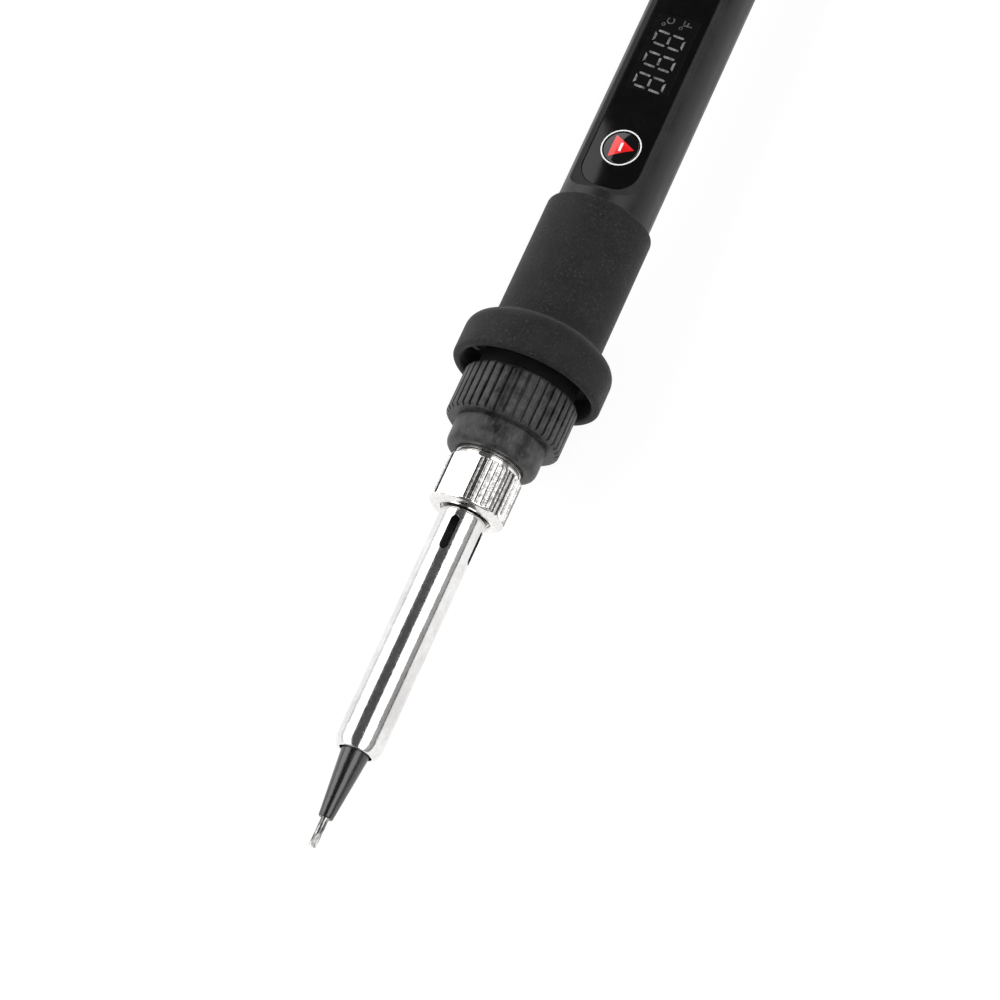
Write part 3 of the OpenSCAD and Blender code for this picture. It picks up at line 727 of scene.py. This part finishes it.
def make_barrel():
    bend_r, bend, end = 3.9, 31.6, -43.5
    lip = 0.35
    bend_x = end + lip * (1 - math.sin(deg(bend))) + bend_r * math.sin(deg(bend))
    lip_cr = BARREL_R - bend_r + (bend_r - lip) * math.cos(deg(bend))
    profile = [(0.0, 3.6), (bend_x, 3.6)]
    profile += arc(0.1, bend_x, bend_r - 0.4, 0, -bend * 0.8, 8)
    profile += [(end + 0.25, 2.78), (end + 0.06, 2.8), (end, 2.86)]
    profile += arc(lip_cr, end + lip, lip, -80, -bend, 8)
    profile += arc(0.1, bend_x, bend_r, -bend, 0, 14)
    profile += [(s, BARREL_R) for s in (-34, -26, -17, -8.5, -0.9, -0.25)]
    profile += [(-0.05, 3.9), (1.3, 3.9), (1.3, 4.8), (2.1, 4.8), (2.1, 3.6)]
    tube = lathe("barrel_tube", profile, 256, 30)
    combine(tube, [slot_cutter(-4.5 + 90 * i) for i in range(4)], sharp=30)
    dress(tube, "barrel", "barrel_unit", "polished_steel", "barrel")
    tube.data.materials.append(M["scorched"])
    for face in tube.data.polygons:
        c = face.center
        inside = math.hypot(c.y, c.z) < 3.62 * MM and c.x > station(-42.9)
        face.material_index = 1 if inside else 0


def make_nut():
    radius, rim, rear, flat_turn = 6.55, 0.75, 8.81, 17.0
    flat = 0.906 * radius
    knurl_from, groove, groove_floor, groove_side, groove_in = 23.5, 0.36, 0.07, 0.27, 0.28
    angles = set()
    for i in range(40):
        for off in (0.0, 0.35, 0.7, 1.2, 1.75, 2.3, 2.75, 3.1, 3.7, 4.5):
            angles.add(round((RIB_PITCH * i + off) % 360, 3))
            angles.add(round((RIB_PITCH * i - off) % 360, 3))
    for mid in (0, 180):
        for off in (24.3, 24.8, 25.04, 25.3, 25.8):
            angles.add(round((mid + off) % 360, 3))
            angles.add(round((mid - off) % 360, 3))
    angles = sorted(angles)

    def cut(s, r, a):
        """The radius left by the two flats and by a knurl groove at every pitch."""
        d = min(abs(a - f) for f in (0, 180, 360))
        if s <= rim or s > rear:
            return r
        if d > knurl_from:
            off = abs((a + RIB_PITCH / 2) % RIB_PITCH - RIB_PITCH / 2) * math.pi / 180 * radius
            shape = max(0.0, 1 - max(0.0, off - groove_floor) / groove_side) ** 0.85
            r = min(r, radius - groove * shape * min(1.0, (s - rim) / groove_in))
        if d < 40:
            r = min(r, flat / math.cos(deg(d)))
        return r

    outer_s = (rim, 0.752, 0.8, 0.86, 0.93, 1.03, 1.6, 3, 5, 7, 8.2, 8.42)
    outer = [(s, radius) for s in outer_s]
    outer += [(8.55, 6.5), (8.66, 6.4), (8.76, 6.25), (8.8, 6.1)]
    profile = soft([
        (1.2, 4.4), (0.25, 4.4, 0.1), (0.0, 4.68, 0.15), (0.0, 5.35, 0.35), (0.45, 6.33, 0.4),
        (rim, radius),
    ], 5)[:-1]
    profile += outer
    profile += soft([
        (8.8, 6.1), (8.83, 5.75, 0.08), (8.98, 5.65, 0.06), (9.62, 5.65, 0.12), (9.9, 5.42, 0.1),
        (9.9, 5.0), (1.2, 5.0),
    ], 4)[1:]
    rings = [[polar(s, cut(s, r, a), a + flat_turn) for a in angles] for s, r in profile]
    nut = skin("nut_body", rings, True, 28)
    dress(nut, "nut", "nut", "polished_steel", "barrel_nut")
    nut.data.materials.append(M["knurl"])
    for face in nut.data.polygons:
        c = face.center
        turn = abs(math.degrees(math.atan2(c.y, c.z)) - flat_turn) % 180
        along = station(0.9) < c.x < station(8.5)
        grooved = 25.3 < turn < 154.7 and along and math.hypot(c.y, c.z) > 6.1 * MM
        face.material_index = 1 if grooved else 0


# ---------- collar ----------

def make_collar():
    radius, front, rear = 10.1, 15.4, 24.21
    angles = []
    for i in range(40):
        for off in (-4.5, -3.6, -2.6, -1.9, -1.6, -1.42, -1.3, -1.22, -1.12, -0.9, -0.4, 0.0,
                    0.4, 0.9, 1.12, 1.22, 1.3, 1.42, 1.6, 1.9, 2.6, 3.6):
            angles.append(RIB_PITCH * (i + 0.5) + off)

    def cut(s, r, a):
        """The radius left by a groove in the middle of every pitch, with rounded edges."""
        off = abs((a % RIB_PITCH) - RIB_PITCH / 2)
        if s < front - 0.01 or s > rear - 0.01:
            return r
        if off <= 1.12:
            deep = 0.52
        elif off <= 1.3:
            deep = 0.52 - (off - 1.12) / 0.18 * 0.44
        elif off <= 1.9:
            deep = 0.08 * (1 - (off - 1.3) / 0.6) ** 2
        else:
            deep = 0.0
        crown = 0.02 * max(0.0, (1 - ((4.5 - off) / 3.2) ** 2)) if off > 1.3 else 0.0
        return min(r, radius - deep - 0.02 + crown)

    profile = soft([
        (18.7, 5.75), (10.75, 5.75, 0.2), (10.4, 6.15, 0.2), (10.4, 7.0), (10.44, 7.2),
        (10.58, 7.5), (10.85, 7.76), (11.3, 7.94), (11.95, 8.0), (13.6, 8.0), (14.7, 8.02),
        (14.95, 8.1, 0.06), (15.16, 8.1, 0.05), (15.24, 7.95), (15.36, 7.95), (15.42, 8.1),
        (front, 8.4), (front, 9.45, 0.15), (15.8, 9.98),
    ], 4)[:-1]
    profile += [(15.8, 9.98), (15.83, 10.0), (15.9, 10.06)]
    profile += [(s, radius) for s in (16.1, 16.6, 19, 22, 23.4)]
    profile += [(23.75, 10.08), (23.95, 9.95), (24.15, 9.75), (24.2, 9.5), (24.2, 8.6)]
    profile += [(29.3, 8.6), (29.4, 8.5), (29.4, 7.6), (18.7, 7.6)]
    rings = [[polar(s, cut(s, r, a), a) for a in angles] for s, r in profile]
    collar = skin("collar_body", rings, True, 40)
    dress(collar, "collar", "collar", "collar_plastic", "ribbed_collar")
    # Painted shade: the skirt behind the ribs, deep in the grip's cup, is given the near-black
    # material so that it reads as shaded.
    collar.data.materials.append(M["bore"])
    for face in collar.data.polygons:
        face.material_index = 1 if face.center.x > station(24.15) else 0


# ---------- grip ----------

def make_grip():
    profile = [(30.2, 8.4), (30.2, 11.3), (30.0, 11.58), (29.7, 11.7), (27.5, 11.7), (25.95, 11.7)]
    profile += arc(12.2, 25.95, 0.5, -180, -90, 6)
    profile += [(25.45, 12.45)]
    profile += arc(12.55, 26.1, 0.65, -90, 0, 7)
    profile += [(27.2, 13.2), (28.6, 13.2)]
    profile += arc(10.3, 30.7, 2.9, 0, 72, 12)
    profile += arc(10.7, 35.2, 1.2, 252, 180, 7)
    profile += [(36.5, 9.5), (40, 9.5), (45, 9.5), (50, 9.5), (55, 9.5)]
    profile += arc(8.62, 57.42, 0.88, 0, 80, 8)
    profile += [(58.3, 8.55), (58.3, 8.4)]
    grip = lathe("grip_body", profile, 224, 50)
    rib_r, rib_root, rib_turn = 10.41, 12.0, 40
    sections = (
        (25.66, 0.45, 0.2), (25.72, 0.6, 0.06), (25.9, 0.68, 0.0), (28.6, 0.7, 0.0),
        (30.4, 0.7, 0.0),
    )
    rings = []
    for s, w, h in sections:
        x, low = station(s), rib_r + h
        rings.append([
            (x, -w * MM, rib_root * MM), (x, w * MM, rib_root * MM),
            (x, w * 0.9 * MM, (low + 0.5) * MM), (x, w * 0.5 * MM, (low + 0.06) * MM),
            (x, 0, low * MM),
            (x, -w * 0.5 * MM, (low + 0.06) * MM), (x, -w * 0.9 * MM, (low + 0.5) * MM),
        ])
    rib = turn_x(skin("rib", rings), rib_turn)
    combine(grip, [rib], "UNION", 50)
    dress(grip, "rubber", "handle", "grip_rubber", "grip_sleeve")


# ---------- handle ----------

def make_handle():
    chord = math.degrees(math.acos(FLAT / R_HANDLE))
    angles = [180 - 180 * k / 56 for k in range(28)]
    near = (32, 24, 17, 11, 7, 4.5, 3, 2, 1.2, 0.6, 0, -0.6, -1.2, -2, -3, -4.5, -6.5)
    angles += [chord + d for d in near]
    angles = sorted({round(a, 4) for a in angles} | {k * 2.6 for k in range(16)})
    angles = [-a for a in angles[::-1] if 0 < a < 180] + angles

    def blend_min(a, b, k=0.16):
        """The smaller of two radii, with a rounded change from one to the other."""
        h = max(0.0, min(1.0, 0.5 + 0.5 * (b - a) / k))
        return b + (a - b) * h - k * h * (1 - h) * 0.5

    def flat_r(a):
        if abs(a) > chord + 8:
            return R_HANDLE
        return blend_min(R_HANDLE, FLAT / math.cos(deg(a)))

    def wall_s(y):
        """How far the pocket's end wall stands back at y, from the pocket's end plane."""
        half, corner = 6.76, 4.3
        over = min(max(0.0, abs(y) - (half - corner)), corner * 0.995)
        return corner - math.sqrt(corner ** 2 - over ** 2)

    def wall(end, sign):
        """Rings that climb the end wall, from the handle's skin down to the flat."""
        rings = []
        steps = (
            (1.0, -0.6), (1.0, -0.3), (1.0, -0.16), (0.992, -0.07), (0.97, -0.02), (0.93, 0.0),
            (0.6, 0.0), (0.3, 0.0), (0.1, 0.0), (0.04, 0.02), (0.0, 0.08), (0.0, 0.3), (0.0, 1.0),
        )
        for t, shift in steps:
            ring = []
            for a in angles:
                low = flat_r(a)
                r = low + (R_HANDLE - low) * t
                y = r * math.sin(deg(a)) if abs(a) < 90 else 6.3
                ring.append(polar(end + sign * (wall_s(y) + shift), r, a))
            rings.append(ring)
        return rings if sign > 0 else rings[::-1]

    def round_ring(s, r):
        return [polar(s, r, a) for a in angles]

    nose_rings = ((19.0, 6.4), (19.0, 7.1), (19.3, 7.5), (29.5, 7.5), (29.7, 8.3))
    rings = [round_ring(s, r) for s, r in nose_rings]
    rings += [round_ring(s, R_HANDLE) for s in (29.8, 40, 50, 57.8, 58.6)]
    rings += wall(POCKET[0], 1)
    for s in (66, 70, 75, 80, 85, 90, 95, 100, 105, 109, 113):
        rings.append([polar(s, flat_r(a), a) for a in angles])
    rings += wall(POCKET[1], -1)
    rings += [round_ring(s, R_HANDLE) for s in (121.5, 126, 133, 141, 150, 159.6)]
    rings += [round_ring(159.85, 8.35), round_ring(160.0, 8.2), round_ring(160.0, 7.2)]
    handle = skin("handle_body", rings, False, 32)

    bore = lathe("bore", [(28.29, 0), (28.29, 6.9), (162, 6.9), (162, 0)], 96)
    floor_cut = block("floor_cut", POCKET[0] - 1.5, POCKET[1] + 1.5, -9, 9, 3.9, 9.5, 0.02)
    sides = ((4.6, 8.6), (-8.6, -4.6))
    rails = [block("rail", 58.05, 150.0, y0, y1, 0.0, 1.0, 0.02) for y0, y1 in sides]
    combine(bore, [floor_cut, *rails])
    nose = lathe("nose_bore", [(18, 0), (18, 6.0), (28.3, 6.0), (28.3, 0)], 96)
    levels = ((4.7, 0.0), (PANEL_TOP, 0.0), (5.56, 0.02), (5.66, 0.1), (7.5, 1.4))
    recess = tapered(rounded_rect(55.1, 10.56, 3.75, 12), levels)
    window = block("window", PANEL_MID - 9.5, PANEL_MID + 9.5, -4.7, 4.9, 3.0, 4.71, 0.05)
    holes = [
        lathe_z("hole", PANEL_MID + x, 0, [(3.0, 3.71), (4.71, 3.71)], 64)
        for x, _ in BUTTONS.values()
    ]
    screw_hole = lathe_z("screw_hole", CAP_SCREW, 0, [
        (-9.4, 2.1), (-8.33, 2.1), (-8.25, 1.95), (-7.4, 1.95), (-7.39, 1.05), (-6.0, 1.05),
    ], 64)
    combine(handle, [bore, nose, recess, window, *holes, screw_hole], sharp=32)
    dress(handle, "handle", "handle", "handle_plastic", "handle_tube")


def tapered(outline, levels):
    """A cutter about the panel's centre whose outline grows with height."""
    rings = []
    cx = sum(p[0] for p in outline) / len(outline)
    cy = sum(p[1] for p in outline) / len(outline)
    length = max(p[0] for p in outline) - cx
    width = max(p[1] for p in outline) - cy
    for z, grow in levels:
        kx, ky = (length + grow) / length, (width + grow) / width
        rings.append([
            (station(PANEL_MID + cx + (x - cx) * kx), (cy + (y - cy) * ky) * MM, z * MM)
            for x, y in outline
        ])
    return skin("taper", rings)


# ---------- panel ----------

def make_panel():
    outline = rounded_rect(55.0, 10.46, 3.7, 14)
    window = rounded_rect(15.7, 7.8, 0.15, 3, 0, CELL_Y)
    holes = [circle(x, 0, 3.2) for x, _ in BUTTONS.values()]
    panel = plate("panel_glass", [outline, *holes], 4.7, PANEL_TOP, 0.09, 3)
    opening = plate("window_cut", [window], 4.0, 6.0)
    combine(panel, [opening])
    dress(panel, "panel", "handle", "panel_gloss", "display_panel")
    flatten(panel)

    rings = []
    for x, _ in BUTTONS.values():
        rings.append(lathe_z("ring", PANEL_MID + x, 0, [
            (5.4, 3.3), (PANEL_TOP, 3.3), (5.512, 3.33), (5.515, 3.37), (5.515, 3.47),
            (5.512, 3.51), (PANEL_TOP, 3.54), (5.4, 3.54),
        ], 128, 60, True))
    joined = join("ring_print", rings)
    dress(joined, "ring", "handle", "white_ink", "button_rings")

    def display(name, half_x, half_y, z0, z1, bevel):
        x0, x1 = PANEL_MID - half_x, PANEL_MID + half_x
        return block(name, x0, x1, CELL_Y - half_y, CELL_Y + half_y, z0, z1, bevel)

    cell = display("display_glass", 7.84, 3.89, 4.5, 5.498, 0.02)
    under = display("display_block", 9.3, 4.6, 2.9, 4.6, 0.15)
    combine(cell, [under], "UNION")
    dress(cell, "cell", "handle", "lcd_cell", "lcd_module")
    flatten(cell)

    bars = []
    for i in (-1, 0, 1):
        bars += digit(-1.6 + i * 4.45)
    flatten(dress(join("segment_bars", bars), "segments", "handle", "lcd_ink", "lcd_segments"))
    flatten(dress(join("unit_letters", unit_marks()), "units", "handle", "lcd_ink", "unit_marks"))


def join(name, parts):
    bm = bmesh.new()
    for p in parts:
        bm.from_mesh(p.data)
        bpy.data.objects.remove(p)
    mesh = bpy.data.meshes.new(name)
    bm.to_mesh(mesh)
    bm.free()
    obj = bpy.data.objects.new(name, mesh)
    bpy.context.scene.collection.objects.link(obj)
    obj.data.shade_smooth()
    obj.data.set_sharp_from_angle(angle=deg(40))
    return obj


def printed(outline):
    return plate("print", [outline], PRINT_LOW, PRINT_TOP, 0.015, 1)


def digit(cx):
    """The seven leaning bars of one digit."""
    high, wide, stroke = 5.8, 2.55, 0.42
    half, top = stroke / 2, (high - stroke) / 2

    def lean(points):
        return [(cx + x + 0.12 * y, 0.3 + y) for x, y in points]

    parts = []
    length = wide - 1.1
    for y, tilt in ((-top, 1), (0, 0), (top, -1)):
        parts.append(printed(lean([
            (-length / 2 - tilt * half, y - half), (length / 2 + tilt * half, y - half),
            (length / 2 - tilt * half, y + half), (-length / 2 + tilt * half, y + half),
        ])))
    for x in (-wide / 2, wide / 2):
        for y0, y1 in ((0.28, top - 0.18), (-top + 0.18, -0.28)):
            parts.append(printed(lean([
                (x - half, y0 + half), (x, y0), (x + half, y0 + half), (x + half, y1 - half),
                (x, y1), (x - half, y1 - half),
            ])))
    return parts


def unit_marks():
    """The degree signs with a C and an F."""
    x, h = 6.85, 1.5
    outside, inside, stroke = 0.72, 0.48, 0.24
    parts = []
    for cx, cy in ((x - 1, h + 1), (x - 1.05, -0.75)):
        loops = [circle(cx, cy, 0.36, 32), circle(cx, cy, 0.2, 32)]
        parts.append(plate("print", loops, PRINT_LOW, PRINT_TOP, 0.01, 1))
    letter_c = []
    for r, sweep in ((outside, range(35, 326, 10)), (inside, range(325, 34, -10))):
        letter_c += [(x + r * math.cos(deg(a)), h + r * math.sin(deg(a))) for a in sweep]
    parts.append(printed(letter_c))
    fx, fy = x - 0.55, -2.6
    parts.append(printed([
        (fx, fy), (fx + stroke, fy), (fx + stroke, fy + 0.75), (fx + 0.9, fy + 0.75),
        (fx + 0.9, fy + 0.99), (fx + stroke, fy + 0.99), (fx + stroke, fy + 1.46),
        (fx + 1.1, fy + 1.46), (fx + 1.1, fy + 1.7), (fx, fy + 1.7),
    ]))
    return parts


# ---------- buttons ----------

def make_buttons():
    radius, sag, top = 3.14, 0.35, 5.75
    dome = (radius ** 2 + sag ** 2) / (2 * sag)

    def height(r):
        """The domed top's height at a radius."""
        return top - dome + math.sqrt(dome ** 2 - r ** 2)

    for name, (x, d) in BUTTONS.items():
        profile = [(4.1, 3.46), (4.14, 3.56), (4.55, 3.56), (4.6, 3.48), (4.62, 3.18)]
        profile += [(4.7, radius), (5.24, radius), (5.31, 3.13), (5.36, 3.1), (5.388, 3.06)]
        profile += [(height(r), r) for r in (3.0, 2.85, 2.6, 2.3, 1.9, 1.5, 1.1, 0.7, 0.3)]
        cap = lathe_z(name + "_cap", PANEL_MID + x, 0, profile, 128, 30)
        tri = [(x - 2.2, -d * 1.65), (x + 2.2, -d * 1.65), (x, d * 2.376)]
        if d < 0:
            tri = tri[::-1]
        cutter = plate("tri_cut", [tri], 5.3, 6.6)
        combine(cap, [cutter], sharp=30)
        dress(cap, "button", name + "_key", "button_plastic", name + "_button")


# ---------- rear end ----------

def make_rear():
    outer = soft([
        (160.02, 8.2), (160.2, 8.38, 0.1), (161.0, R_HANDLE, 0.4), (166.2, 7.55, 3.2),
        (169.0, 7.2, 2.6), (169.0, 3.62, 0.15),
    ], 10)
    profile = [(153.0, 5.62), (153.0, 6.75), (153.2, 6.88), (159.98, 6.88), *outer]
    profile += [(165.0, 3.62), (165.0, 5.6)]
    cap = lathe("cap_body", profile, 192, 40)
    screw = lathe_z("cut", CAP_SCREW, 0, [(-8.0, 1.0), (-4.5, 1.0)], 48)
    shelf = block("shelf", 153.02, 160.0, -4.9, 4.9, -6.2, -2.7, 0.05)
    combine(cap, [shelf], "UNION", 40)
    cuts = [
        lathe_z("cut", CAP_SCREW, side * 3.7, [(-4.3, 0.7), (-2.0, 0.7)], 32)
        for side in (-1, 1)
    ]
    combine(cap, [screw, *cuts], sharp=40)
    dress(cap, "cap", "handle", "handle_plastic", "rear_cap")

    lip = soft([
        (163.62, 2.62), (163.62, 4.6, 0.15), (165.0, 4.6, 0.15), (165.0, 3.6, 0.1),
        (168.98, 3.6, 0.02), (169.02, 4.6, 0.2), (169.6, 4.6, 0.25), (170.3, 4.1, 0.3),
        (170.5, 3.85, 0.1), (170.9, 3.75, 0.1), (171.1, 4.0, 0.12), (171.5, 3.95, 0.12),
        (171.7, 3.6, 0.1), (172.1, 3.5, 0.1), (172.3, 3.7, 0.12), (172.8, 3.6, 0.15),
        (173.0, 3.2, 0.15), (173.0, 2.62, 0.1),
    ], 4)
    gland = lathe("gland_body", lip, 128, 50)
    dress(gland, "gland", "handle", "gland_rubber", "cord_gland")


make_tip()
make_barrel()
make_nut()
make_collar()
make_grip()
make_handle()
make_panel()
make_buttons()
make_rear()

# ---------- CAD nodes that show as they are ----------

KEPT = {
    "thread_bush": "bush", "heater_rod": "ceramic", "heater_base": "base",
    "heater_leads": "wire", "earth_spring": "spring", "lcd_connector": "connector",
    "minus_triangle": "red", "minus_sign": "white", "minus_plunger": "plunger",
    "plus_triangle": "red", "plus_sign": "white", "plus_plunger": "plunger",
    "tact_switches": "switch", "circuit_board": "board", "controller_chip": "chip",
    "triac": "chip", "filter_capacitor": "can", "resistors": "resistor",
    "terminal_block": "terminal", "cap_screw": "screw", "cord_clamp": "clamp",
    "clamp_screws": "screw",
}
for node, material in KEPT.items():
    mesh = nodes[node].data
    mesh.materials.clear()
    mesh.materials.append(M[material])
    mesh.shade_smooth()
